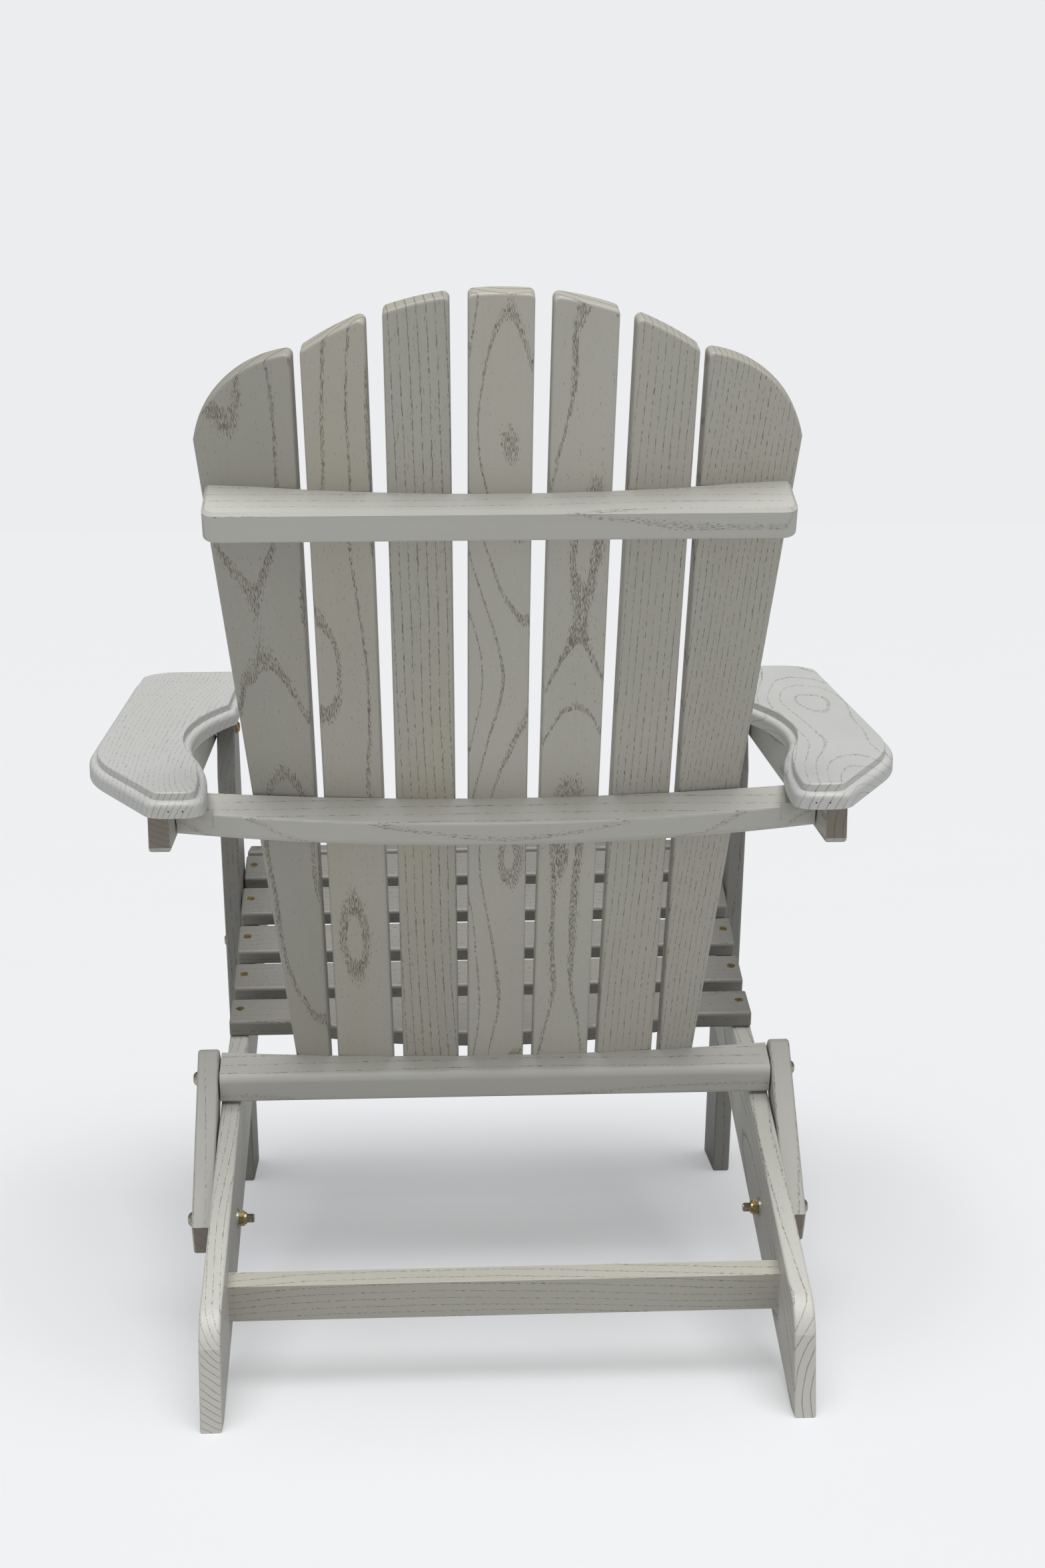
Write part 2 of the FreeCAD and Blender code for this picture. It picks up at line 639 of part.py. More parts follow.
def slat_board(index):
    """Straight board before its ends and outer edge are shaped, in the back frame."""
    width_out = BACK_SLAT_WIDTH / 2
    if abs(index) == 3:
        width_out += 60.0
    left = -BACK_SLAT_WIDTH / 2 if index >= 0 else -width_out
    right = width_out if index >= 0 else BACK_SLAT_WIDTH / 2
    block = Part.makeBox(right - left, SLAT_THICKNESS, 900.0, Vector(left, -SLAT_THICKNESS, -60.0))
    return placed(block, slat_frame(index))


def back_outline():
    """Outline of the whole back, a block that every slat is trimmed by."""
    depth = 120.0

    def point(x, up):
        return Vector(x, -depth / 2, up)

    arch_centre = BACK_TOP - BACK_ARCH

    def on_arch(x):
        return point(x, arch_centre + math.sqrt(BACK_ARCH * BACK_ARCH - x * x))

    shoulder_x = SHOULDER_START
    right = [line(point(BACK_FOOT_HALF, BACK_BOTTOM), point(*SHOULDER_END)),
             arc(point(*SHOULDER_END), point(*SHOULDER_MIDDLE), on_arch(shoulder_x))]
    crown = [arc(on_arch(shoulder_x), on_arch(0), on_arch(-shoulder_x))]
    left = [arc(on_arch(-shoulder_x), point(-SHOULDER_MIDDLE[0], SHOULDER_MIDDLE[1]),
                point(-SHOULDER_END[0], SHOULDER_END[1])),
            line(point(-SHOULDER_END[0], SHOULDER_END[1]), point(-BACK_FOOT_HALF, BACK_BOTTOM))]
    base = [line(point(-BACK_FOOT_HALF, BACK_BOTTOM), point(BACK_FOOT_HALF, BACK_BOTTOM))]
    return prism(right + crown + left + base, Vector(0, depth, 0))


def slat_screw_places(index):
    """One screw through the slat into each rail, heads on the front face."""
    frame = slat_frame(index)
    places = []
    rails = ((LOWER_RAIL_UP, LOWER_RAIL_THICK), (MIDDLE_RAIL_UP, MIDDLE_RAIL_THICK),
             (UPPER_RAIL_UP, UPPER_RAIL_THICK))
    for top, thickness in rails:
        seat = frame.multVec(Vector(0, -SLAT_THICKNESS, top - thickness / 2))
        places.append((seat, frame.Rotation.multVec(Vector(0, 1, 0))))
    return places


def back_slat(index):
    solid = slat_board(index).common(back_outline())
    behind = slat_frame(index).Rotation.multVec(Vector(0, 1, 0))
    corners = []
    for edge in solid.Edges:
        across = abs(edge.tangentAt(edge.FirstParameter).dot(behind)) > 0.99
        middle = edge.CenterOfMass
        if across and middle.z > UPPER_RAIL_UP and abs(middle.x) < SHOULDER_END[0] - 10.0:
            corners.append(edge)
    solid = eased(solid.makeFillet(BACK_SLAT_CORNER, corners), behind, BACK_SLAT_ROUND)
    holes = [screw_hole(BACK_SCREW_LENGTH, seat, inward) for seat, inward in slat_screw_places(index)]
    return placed(drilled(solid, holes), back_frame())


def back_screws():
    screws = []
    for index in range(-3, 4):
        for seat, inward in slat_screw_places(index):
            screws.append(placed(wood_screw(BACK_SCREW_LENGTH, seat, inward), back_frame()))
    return screws


def fitted_rail(rail, pivot, half):
    """Cut the slats' flats, the screw holes and the holes for the threaded inserts."""
    places = [place for index in range(-3, 4) for place in slat_screw_places(index)]
    rail = rail.cut([screw_hole(BACK_SCREW_LENGTH, seat, inward) for seat, inward in places])
    for index in range(-3, 4):
        rail = rail.cut(slat_board(index))
    rail = placed(rail, back_frame())
    if pivot is None:
        return rail
    holes = []
    for side in (LEFT, RIGHT):
        holes.append(rod(INSERT_RADIUS, INSERT_LENGTH, at(side * half, *pivot), Vector(-side, 0, 0)))
    return drilled(rail, holes)


def lower_back_rail():
    rail = rail_blank(LOWER_RAIL_HALF, LOWER_RAIL_REAR, 0.0, LOWER_RAIL_HOLLOW, LOWER_RAIL_THICK,
                      LOWER_RAIL_UP)
    rail = rounded_rail(rail, LOWER_RAIL_REAR - 1.0, LOWER_RAIL_UP, LOWER_RAIL_UP - LOWER_RAIL_THICK,
                        LOWER_RAIL_ROUNDS)
    return fitted_rail(rail, LINK_HEAD, LOWER_RAIL_HALF)


def rail_end_waste(side):
    """What is turned off the upper rear corner at one end of the middle rail."""
    end = MIDDLE_RAIL_HALF + 1.0
    length = end - RAIL_TURNED_FROM
    pivot = back_frame().inverse().multVec(at(0, *BACK_ARM))
    waste = Part.makeBox(length, 60.0, 40.0, Vector(RAIL_TURNED_FROM, pivot.y, pivot.z))
    kept = rod(RAIL_TURNED_RADIUS, length, Vector(RAIL_TURNED_FROM, pivot.y, pivot.z), Vector(1, 0, 0))
    return on_side(waste.cut(kept), side)


def middle_back_rail():
    rail = rail_blank(MIDDLE_RAIL_HALF, MIDDLE_RAIL_REAR, MIDDLE_RAIL_BOW, MIDDLE_RAIL_HOLLOW,
                      MIDDLE_RAIL_THICK, MIDDLE_RAIL_UP)
    rail = rounded_rail(rail, MIDDLE_RAIL_REAR, MIDDLE_RAIL_UP, MIDDLE_RAIL_UP - MIDDLE_RAIL_THICK,
                        MIDDLE_RAIL_ROUNDS)
    for side in (LEFT, RIGHT):
        rail = rail.cut(rail_end_waste(side))
    return fitted_rail(rail, BACK_ARM, MIDDLE_RAIL_HALF)


def rear_rim(rail, height):
    """Edges round the rear and the rear corners of the upper rail at one height."""
    rim = []
    for edge in rail.Edges:
        level = abs(edge.tangentAt(edge.FirstParameter).z) < 0.1
        if level and edge.CenterOfMass.y > 5.0 and abs(edge.CenterOfMass.z - height) < 0.1:
            rim.append(edge)
    return rim


def upper_back_rail():
    rail = rail_blank(UPPER_RAIL_HALF, UPPER_RAIL_REAR, 0.0, UPPER_RAIL_HOLLOW, UPPER_RAIL_THICK,
                      UPPER_RAIL_UP)
    corners = []
    for edge in rail.Edges:
        upright = abs(edge.tangentAt(edge.FirstParameter).z) > 0.9
        if upright and edge.CenterOfMass.y > 0:
            corners.append(edge)
    rail = rail.makeFillet(UPPER_RAIL_CORNER, corners)
    rail = rail.makeChamfer(UPPER_RAIL_CHAMFER, rear_rim(rail, UPPER_RAIL_UP))
    rail = rail.makeFillet(UPPER_RAIL_ROUND, rear_rim(rail, UPPER_RAIL_UP - UPPER_RAIL_THICK))
    return fitted_rail(rail, None, UPPER_RAIL_HALF)


def back_bolts():
    bolts = []
    for side in (LEFT, RIGHT):
        inward = Vector(-side, 0, 0)
        for head_x, pivot in ((LINK_OUT, LINK_HEAD), (BAR_OUT, BACK_ARM)):
            seat = at(side * (head_x + RUNNING_GAP), *pivot)
            bolts.append(button_bolt(RAIL_BOLT_LENGTH, seat, inward))
    return bolts


def back_inserts():
    inserts = []
    for side in (LEFT, RIGHT):
        inward = Vector(-side, 0, 0)
        inserts.append(threaded_insert(at(side * LOWER_RAIL_HALF, *LINK_HEAD), inward))
        inserts.append(threaded_insert(at(side * MIDDLE_RAIL_HALF, *BACK_ARM), inward))
    return inserts


def back_washers():
    rings = []
    for side in (LEFT, RIGHT):
        outward = Vector(side, 0, 0)
        for half, pivot in ((LOWER_RAIL_HALF, LINK_HEAD), (MIDDLE_RAIL_HALF, BACK_ARM)):
            rings.append(washer(SINGLE_GAP - RUNNING_GAP, at(side * half, *pivot), outward))
    return rings


# =================================================================== arms
def arm_point(x, forward, up):
    """Point in the arm frame, from its sideways and forward place."""
    return Vector(x, ARM_REAR[0] - forward, up)


def arm_outline(up):
    """Wide paddle with rounded front corners, a narrow rear tip and a hollow inner edge."""
    def point(x, forward):
        return arm_point(x, forward, up)

    bend = 1.0 - math.sqrt(0.5)
    outer_bend = ARM_OUTER_CORNER * bend
    inner_bend = ARM_INNER_CORNER * bend
    front_inner = point(ARM_INNER + ARM_INNER_CORNER, ARM_FRONT)
    front_outer = point(ARM_OUTER - ARM_OUTER_CORNER, ARM_FRONT)
    inner_side = point(ARM_INNER, ARM_FRONT - ARM_INNER_CORNER)
    outer_side = point(ARM_OUTER, ARM_FRONT - ARM_OUTER_CORNER)
    side_end = point(ARM_OUTER, ARM_SIDE_END)
    cove_start = point(*ARM_COVE_START)
    side_middle, diagonal_start = (point(*p) for p in ARM_SIDE_ARC)
    outer_tip = [point(*p) for p in ARM_TIP_OUTER]
    inner_tip = [point(*p) for p in ARM_TIP_INNER]
    tail_middle, cove_end = (point(*p) for p in ARM_TAIL_ARC)
    return [line(cove_start, inner_side),
            arc(inner_side, point(ARM_INNER + inner_bend, ARM_FRONT - inner_bend), front_inner),
            line(front_inner, front_outer),
            arc(front_outer, point(ARM_OUTER - outer_bend, ARM_FRONT - outer_bend), outer_side),
            line(outer_side, side_end), arc(side_end, side_middle, diagonal_start),
            line(diagonal_start, outer_tip[0]), arc(*outer_tip), line(outer_tip[2], inner_tip[0]),
            arc(*inner_tip), arc(inner_tip[2], tail_middle, cove_end),
            arc(cove_end, point(*ARM_COVE_MIDDLE), cove_start)]


def arm_board_blank():
    """Board with a routed step all round its upper edge."""
    rim = prism(arm_outline(0.0), Vector(0, 0, ARM_LIP))
    upper = [e for e in rim.Edges if abs(e.CenterOfMass.z - ARM_LIP) < 0.01]
    rim = rim.makeFillet(ARM_RIM_ROUND, upper)
    table_wire = Part.Wire(arm_outline(ARM_LIP - 1.0)).makeOffset2D(-ARM_STEP)
    table = Part.Face(table_wire).extrude(Vector(0, 0, ARM_THICKNESS - ARM_LIP + 1.0))
    top = [e for e in table.Edges if abs(e.CenterOfMass.z - ARM_THICKNESS) < 0.01]
    table = table.makeFillet(ARM_TABLE_ROUND, top)
    return rim.fuse(table).removeSplitter()


def arm_screw_places():
    """Screws up through the bar into the arm board."""
    x = (BAR_IN + BAR_OUT) / 2
    return [(arm_point(x, forward, -BAR_HEIGHT), Vector(0, 0, 1)) for forward in ARM_SCREWS]


def arm_nail_places():
    """Two thin nails in the rear edge of the tip."""
    places = []
    for x, forward in ((268.0, 78.8), (280.0, 77.8)):
        places.append((arm_point(x, forward, 6.0), Vector(0, -1, 0)))
    return places


def arm_screws(side):
    frame = arm_frame()
    screws = [placed(wood_screw(ARM_SCREW_LENGTH, seat, up), frame) for seat, up in arm_screw_places()]
    return [on_side(screw, side) for screw in screws]


def arm_nails(side):
    frame = arm_frame()
    nails = []
    for seat, inward in arm_nail_places():
        nails.append(on_side(placed(rod(NAIL_RADIUS, NAIL_LENGTH, seat, inward), frame), side))
    return nails


def arm_board(side):
    solid = arm_board_blank()
    holes = [screw_hole(ARM_SCREW_LENGTH, seat, up) for seat, up in arm_screw_places()]
    for seat, inward in arm_nail_places():
        holes.append(rod(NAIL_RADIUS, NAIL_LENGTH + 3.0, seat - inward * 3.0, inward))
    return on_side(placed(drilled(solid, holes), arm_frame()), side)


def arm_bar(side):
    """Board on edge under the arm, bolted to the back and to the front leg."""
    low = -BAR_HEIGHT

    def point(forward, up):
        return arm_point(0.0, forward, up)

    corners = [point(BAR_REAR, 0.0), point(BAR_REAR, low + BAR_REAR_CHAMFER),
               point(BAR_REAR + BAR_REAR_CHAMFER, low), point(BAR_FRONT - BAR_FRONT_CHAMFER, low),
               point(BAR_FRONT, low + BAR_FRONT_CHAMFER), point(BAR_FRONT, 0.0)]
    corners.append(corners[0])
    solid = Part.Face(Part.makePolygon(corners)).extrude(Vector(BOARD, 0, 0))
    solid.translate(Vector(BAR_IN, 0, 0))
    lower = [e for e in solid.Edges if e.CenterOfMass.z < low + 1.0 and e.Length > 100]
    solid = solid.makeFillet(EDGE, lower)
    holes = [screw_hole(ARM_SCREW_LENGTH, seat, up) for seat, up in arm_screw_places()]
    solid = placed(drilled(solid, holes), arm_frame())
    turning = side_hole(BACK_ARM, BOLT_RUNNING_HOLE, BAR_IN, BAR_OUT)
    pocket_centre = at(BAR_IN - 1.0, LEG_ARM[0] + POCKET_SHIFT[0], LEG_ARM[1] + POCKET_SHIFT[1])
    pocket = rod(POCKET_RADIUS, POCKET_DEPTH + 1.0, pocket_centre, Vector(1, 0, 0))
    return on_side(drilled(solid, [turning, pocket]), side)


# =================================================================== the whole chair
def seat_frame_nodes():
    nodes = {"rear_stretcher": rear_stretcher()}
    for number, slat in enumerate(SEAT_SLATS, start=1):
        nodes[f"seat_slat_{number}"] = seat_slat(slat)
    for name, side in SIDES.items():
        nodes[f"stringer_{name}"] = stringer(side)
    nodes["seat_slat_screws"] = Part.makeCompound(seat_screws())
    nodes["stretcher_screws"] = Part.makeCompound(stretcher_screws())
    nodes["link_pivot_bolts"] = Part.makeCompound(seat_bolts(LINK_FOOT, LINK_OUT, LINK_BOLT_LENGTH))
    nodes["leg_pivot_bolts"] = Part.makeCompound(seat_bolts(LEG_SEAT, LEG_OUT, LEG_BOLT_LENGTH))
    nodes["seat_lock_nuts"] = Part.makeCompound(seat_nuts())
    nodes["seat_washers"] = Part.makeCompound(seat_washers())
    return nodes


def back_nodes():
    nodes = {"lower_back_rail": lower_back_rail(), "middle_back_rail": middle_back_rail(),
             "upper_back_rail": upper_back_rail()}
    for index in range(-3, 4):
        nodes[f"back_slat_{index + 4}"] = back_slat(index)
    nodes["back_slat_screws"] = Part.makeCompound(back_screws())
    nodes["back_pivot_bolts"] = Part.makeCompound(back_bolts())
    nodes["back_threaded_inserts"] = Part.makeCompound(back_inserts())
    nodes["back_washers"] = Part.makeCompound(back_washers())
    return nodes


def side_nodes():
    nodes = {}
    for name, side in SIDES.items():
        nodes[f"front_leg_{name}"] = front_leg(side)
        nodes[f"leg_arm_bolt_{name}"] = leg_arm_bolt(side)
        nodes[f"leg_arm_washer_{name}"] = leg_arm_washer(side)
        nodes[f"rear_link_{name}"] = rear_link(side)
        nodes[f"arm_board_{name}"] = arm_board(side)
        nodes[f"arm_bar_{name}"] = arm_bar(side)
        nodes[f"arm_screws_{name}"] = Part.makeCompound(arm_screws(side))
        nodes[f"arm_nails_{name}"] = Part.makeCompound(arm_nails(side))
    return nodes


def build():
    os.makedirs("parts", exist_ok=True)
    nodes = seat_frame_nodes()
    nodes.update(back_nodes())
    nodes.update(side_nodes())
    for name, shape in nodes.items():
        shape.exportStep(f"parts/{name}.step")


build()
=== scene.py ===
import math

import bpy
from mathutils import Matrix, Vector

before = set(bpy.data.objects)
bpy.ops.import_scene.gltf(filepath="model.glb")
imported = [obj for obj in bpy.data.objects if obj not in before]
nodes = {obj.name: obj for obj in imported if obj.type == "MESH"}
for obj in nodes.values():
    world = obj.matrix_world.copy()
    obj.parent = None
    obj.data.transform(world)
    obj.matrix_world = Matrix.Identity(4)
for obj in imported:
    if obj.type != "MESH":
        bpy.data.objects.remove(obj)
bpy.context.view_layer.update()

# ---------------------------------------------------------------- camera
CAMERA_PLACE = Vector((0.0705, 2.2197, 0.7975))
CAMERA_AIM = Vector((-0.0316, 0.0019, 0.4947))
CAMERA_ROLL = math.radians(-0.42)
LENS_MM = 52.8
SENSOR_MM = 36.0

# ---------------------------------------------------------------- light
BACKDROP_STRENGTH = 0.86        # seen by the camera only
BACKDROP_COLOUR = (0.975, 0.985, 1.0, 1.0)
FILL_REAR = 0.44                # the dome's strength behind the chair's back and before its front
FILL_FRONT = 0.15
SOFTBOX_STRENGTH = 2.75
SOFTBOX_DEGREES = 48.0
SOFTBOX_DIRECTION = (0.03, -0.30, -0.95)
FLOOR_HALF = 30.0
FLOOR_COLOUR = (0.548, 0.552, 0.560, 1.0)
FLOOR_GLOW = 0.50               # even lift of the floor, seen by the camera only

# ---------------------------------------------------------------- directions of the boards
SIDEWAYS = Vector((1.0, 0.0, 0.0))
STRINGER_SLOPE = math.radians(22.6)
ARM_SLOPE = math.radians(5.0)
RECLINE = math.radians(24.6)
UP_THE_BACK = Vector((0.0, math.sin(RECLINE), math.cos(RECLINE)))
BEHIND_THE_BACK = Vector((0.0, math.cos(RECLINE), -math.sin(RECLINE)))
LEG_RUN = (-0.281, 0.960)       # forward and upward run of the front legs
LINK_RUN = (0.600, 0.800)       # forward and upward run of the rear links
SEAT_SLOPES = (15.5, 20.5, 24.5, 26.0, 22.5, -2.0)              # degrees, front edge up
SLAT_SPLAY = (-6.08, -2.72, -1.44, 0.0, 1.44, 2.72, 6.08)       # degrees from upright

# ---------------------------------------------------------------- metal
LINK_AXIS = (0.1684, 0.118)     # rearward and upward place of the bolts through the stringers
LEG_AXIS = (-0.2766, 0.288)
THREAD_PITCH = 0.00125
THREAD_DEPTH = 0.0006
THREAD_END = 0.240              # the threads lie within this distance of the chair's middle
METAL_EDGE_WEAR = 0.6
METAL_EDGE_WIDTH = 0.0005

# ---------------------------------------------------------------- wood
# each paint is a darker and a lighter tone that cloud into each other
SLAT_PAINT = ((0.445, 0.431, 0.374), (0.550, 0.535, 0.471))
BOARD_PAINT = ((0.484, 0.476, 0.433), (0.588, 0.581, 0.537))
ARM_PAINT = ((0.560, 0.565, 0.550), (0.670, 0.675, 0.660))
# the seat and the front legs stand in deep shade, and part of that shade is in their paint
SEAT_SHADE = 0.44
LEG_SHADE = 0.52
PORE_COVER = 0.78               # how far an open pore hides the paint round it
CROOK_ACROSS = 0.040            # metres the pith line of a crooked tree wanders about
CROOK_THROUGH = 0.060
# painted highlight on the boards' edges, as if light caught them: how strong it is and how wide
EDGE_HIGHLIGHT_SHARE = 0.30
EDGE_WIDTH = 0.0022
WARM = (0.500, 0.455, 0.350, 1.0)
# colour of the painted highlight on the boards' edges
EDGE_HIGHLIGHT_COLOUR = (0.680, 0.685, 0.665, 1.0)
PORE = (0.130, 0.115, 0.088, 1.0)
END_BROWN = (0.230, 0.180, 0.130, 1.0)
END_TONE = (0.264, 0.232, 0.192, 1.0)


def in_side_view(forward, up):
    """Unit direction in the chair's side view."""
    return Vector((0.0, -forward, up)).normalized()


def cover(name, material):
    """Puts one material in every slot of a piece."""
    slots = nodes[name].data.materials
    if len(slots) == 0:
        slots.append(material)
    for index in range(len(slots)):
        slots[index] = material


# ================================================================ node helpers
class Graph:
    """Small helper that adds and joins shader nodes."""

    def __init__(self, material):
        material.use_nodes = True
        self.tree = material.node_tree
        self.tree.nodes.clear()

    def add(self, kind, **settings):
        node = self.tree.nodes.new(kind)
        for name, value in settings.items():
            setattr(node, name, value)
        return node

    def join(self, output, socket):
        self.tree.links.new(output, socket)

    def feed(self, socket, value):
        if isinstance(value, bpy.types.NodeSocket):
            self.join(value, socket)
        else:
            socket.default_value = value

    def finish(self, shader, kind="ShaderNodeOutputMaterial"):
        self.join(shader.outputs[0], self.add(kind).inputs["Surface"])

    def math(self, operation, first, second=0.0, third=0.0, clamp=False):
        node = self.add("ShaderNodeMath", operation=operation, use_clamp=clamp)
        for socket, value in zip(node.inputs, (first, second, third)):
            self.feed(socket, value)
        return node.outputs[0]

    def ramp(self, value, low, high):
        """Smooth step from 0 at low to 1 at high."""
        node = self.add("ShaderNodeMapRange", interpolation_type="SMOOTHSTEP")
        self.feed(node.inputs["Value"], value)
        node.inputs["From Min"].default_value = low
        node.inputs["From Max"].default_value = high
        return node.outputs["Result"]

    def mix(self, factor, first, second):
        # sockets 6 and 7 are the two colours of a Mix node, and output 2 is the mixed one
        node = self.add("ShaderNodeMix", data_type="RGBA")
        self.feed(node.inputs["Factor"], factor)
        self.feed(node.inputs[6], first)
        self.feed(node.inputs[7], second)
        return node.outputs[2]

    def noise(self, vector, scale, detail=2.0, roughness=0.5):
        node = self.add("ShaderNodeTexNoise")
        self.feed(node.inputs["Vector"], vector)
        node.inputs["Scale"].default_value = scale
        node.inputs["Detail"].default_value = detail
        node.inputs["Roughness"].default_value = roughness
        return node.outputs["Fac"]

    def mapped(self, vector, location=(0, 0, 0), rotation=(0, 0, 0), scale=(1, 1, 1)):
        node = self.add("ShaderNodeMapping")
        self.feed(node.inputs["Vector"], vector)
        node.inputs["Location"].default_value = location
        node.inputs["Rotation"].default_value = rotation
        node.inputs["Scale"].default_value = scale
        return node.outputs["Vector"]

    def edge_mask(self, radius):
        """1 on edges and corners, 0 on flat faces."""
        bevel = self.add("ShaderNodeBevel", samples=4)
        bevel.inputs["Radius"].default_value = radius
        geometry = self.add("ShaderNodeNewGeometry")
        dot = self.add("ShaderNodeVectorMath", operation="DOT_PRODUCT")
        self.join(bevel.outputs["Normal"], dot.inputs[0])
        self.join(geometry.outputs["Normal"], dot.inputs[1])
        return self.ramp(self.math("SUBTRACT", 1.0, dot.outputs["Value"]), 0.02, 0.22)


# ================================================================ wood material
def board_space(g, board_name, grain, face):
    """Place on the board from its middle: across it, through it and along its grain."""
    across = face.cross(grain).normalized()
    through = grain.cross(across).normalized()
    turn = Matrix((across, through, grain))
    corners = [Vector(corner) for corner in nodes[board_name].bound_box]
    middle = sum(corners, Vector()) / len(corners)
    object_space = g.add("ShaderNodeTexCoord").outputs["Object"]
    return g.mapped(object_space, location=-(turn @ middle), rotation=turn.to_euler())


def earlywood(g, board, shifted, cut):
    """1 on the porous start of each growth ring. The rings lie round a crooked pith line."""
    pith_across, pith_depth, spacing, wander = cut
    crook = g.add("ShaderNodeTexNoise")
    g.feed(crook.inputs["Vector"], g.mapped(shifted, scale=(2.0, 2.0, 2.6)))
    crook.inputs["Scale"].default_value = 1.0
    crook.inputs["Detail"].default_value = 1.0
    split = g.add("ShaderNodeSeparateXYZ")
    g.join(board, split.inputs[0])
    drift = g.add("ShaderNodeSeparateColor")
    g.join(crook.outputs["Color"], drift.inputs[0])
    fine = g.noise(g.mapped(shifted, scale=(30.0, 30.0, 6.0)), 1.0, 2.0)
    wobble = g.math("MULTIPLY", g.math("SUBTRACT", fine, 0.5), 0.0050)
    centre = g.math("ADD", split.outputs[0], pith_across - 0.5 * CROOK_ACROSS * wander)
    ring_x = g.math("MULTIPLY_ADD", drift.outputs[0], CROOK_ACROSS * wander, centre)
    centre = g.math("ADD", split.outputs[1], pith_depth - 0.5 * CROOK_THROUGH * wander)
    ring_y = g.math("MULTIPLY_ADD", drift.outputs[1], CROOK_THROUGH * wander, centre)
    square = g.math("ADD", g.math("MULTIPLY", ring_x, ring_x), g.math("MULTIPLY", ring_y, ring_y))
    radius = g.math("ADD", g.math("SQRT", square), wobble)
    phase = g.math("FRACT", g.math("DIVIDE", radius, spacing))
    fading = g.math("SUBTRACT", 1.0, g.ramp(phase, 0.09, 0.21))
    return g.math("MULTIPLY", g.ramp(phase, 0.0, 0.03), fading)


def open_pores(g, shifted, early, openness):
    """Thin broken strokes along the grain, nearly all of them in the earlywood."""
    dashes = g.noise(g.mapped(shifted, scale=(1.0, 1.0, 0.085)), 2700.0, 0.0, 0.5)
    patchy = g.noise(g.mapped(shifted, location=(5.0, 1.0, 2.0), scale=(60.0, 60.0, 9.0)), 1.0, 2.0)
    level = g.math("MULTIPLY_ADD", early, 0.27, dashes)
    level = g.math("MULTIPLY_ADD", g.math("SUBTRACT", patchy, 0.5), 0.14, level)
    threshold = 0.80 - 0.03 * (openness - 1.0)
    return g.ramp(level, threshold, threshold + 0.04)


def cloudy_paint(g, shifted, streaks, early, tones, warmth):
    """Grey wash with warmer patches where the wood shows through."""
    low, high = tones
    clouds = g.noise(g.mapped(shifted, scale=(9.0, 9.0, 2.2)), 1.0, 3.0, 0.55)
    tone = g.math("MULTIPLY_ADD", streaks, 0.30, g.math("MULTIPLY_ADD", clouds, 0.9, -0.1), clamp=True)
    paint = g.mix(tone, low, high)
    patches = g.noise(g.mapped(shifted, location=(3.1, 7.7, 0.4), scale=(11.0, 11.0, 2.6)), 1.0, 2.0)
    warm = g.math("MULTIPLY", g.ramp(patches, 0.42, 0.72), warmth)
    paint = g.mix(warm, paint, WARM)
    return g.mix(g.math("MULTIPLY", early, 0.10), paint, WARM)


def end_grain(g, grain, early, paint, bare_end):
    """End grain drinks more stain and shows the rings."""
    geometry = g.add("ShaderNodeNewGeometry")
    along = g.add("ShaderNodeVectorMath", operation="DOT_PRODUCT")
    turned = g.add("ShaderNodeVectorTransform", vector_type="NORMAL", convert_from="WORLD",
                   convert_to="OBJECT")
    g.join(geometry.outputs["Normal"], turned.inputs[0])
    g.join(turned.outputs[0], along.inputs[0])
    along.inputs[1].default_value = grain
    end = g.ramp(g.math("ABSOLUTE", along.outputs["Value"]), 0.72, 0.95)
    paint = g.mix(g.math("MULTIPLY", end, bare_end), paint, END_TONE)
    ring_line = g.math("MULTIPLY", g.math("MULTIPLY", early, end), 0.45)
    return g.mix(ring_line, paint, END_BROWN)


def wood(board_name, grain, face, cut, paint, seed, shade=1.0, warmth=0.1, openness=1.0, bare_end=0.2):
    """Puts grey paint-washed, open-pored ash on one board.

    grain is the direction of the board's length and face the normal of one of its long sides.
    cut says where the board's middle lies from the tree's centre, across and through the board,
    how far apart the growth rings are, all in metres, and how crooked the tree grew.
    seed shifts the noises, so that each board has its own. shade scales the paint, and warmth is
    how much bare wood shows through it. openness is 1 for the usual number of open pores and
    lower, even below 0, for fewer. bare_end is how brown the ends are.
    """
    tones = [tuple(shade * channel for channel in colour) + (1.0,) for colour in paint]
    material = bpy.data.materials.new(f"wood_{board_name}")
    g = Graph(material)
    board = board_space(g, board_name, grain, face)
    shifted = g.mapped(board, location=(0.37 * seed, 0.53 * seed, 1.7 * seed))
    early = earlywood(g, board, shifted, cut)
    pores = open_pores(g, shifted, early, openness)
    streaks = g.noise(g.mapped(shifted, scale=(420.0, 420.0, 5.0)), 1.0, 3.0, 0.6)
    colour = cloudy_paint(g, shifted, streaks, early, tones, warmth)
    colour = end_grain(g, grain, early, colour, bare_end)
    # painted highlight: the edges of each board are lighter, where light would catch them
    colour = g.mix(g.math("MULTIPLY", g.edge_mask(EDGE_WIDTH), EDGE_HIGHLIGHT_SHARE), colour, EDGE_HIGHLIGHT_COLOUR)
    colour = g.mix(g.math("MULTIPLY", pores, PORE_COVER), colour, PORE)

    shader = g.add("ShaderNodeBsdfPrincipled")
    g.join(colour, shader.inputs["Base Color"])
    sheen = g.noise(g.mapped(shifted, scale=(60.0, 60.0, 14.0)), 1.0, 2.0)
    rough = g.math("MULTIPLY_ADD", sheen, 0.16, g.math("MULTIPLY_ADD", pores, 0.3, 0.36))
    g.join(rough, shader.inputs["Roughness"])
    shader.inputs["Specular IOR Level"].default_value = 0.42
    grooves = g.add("ShaderNodeBump")
    grooves.inputs["Strength"].default_value = 0.55
    grooves.inputs["Distance"].default_value = 0.0006
    height = g.math("MULTIPLY_ADD", streaks, 0.12, g.math("SUBTRACT", 1.0, pores))
    g.join(height, grooves.inputs["Height"])
    g.join(grooves.outputs["Normal"], shader.inputs["Normal"])
    g.finish(shader)
    cover(board_name, material)


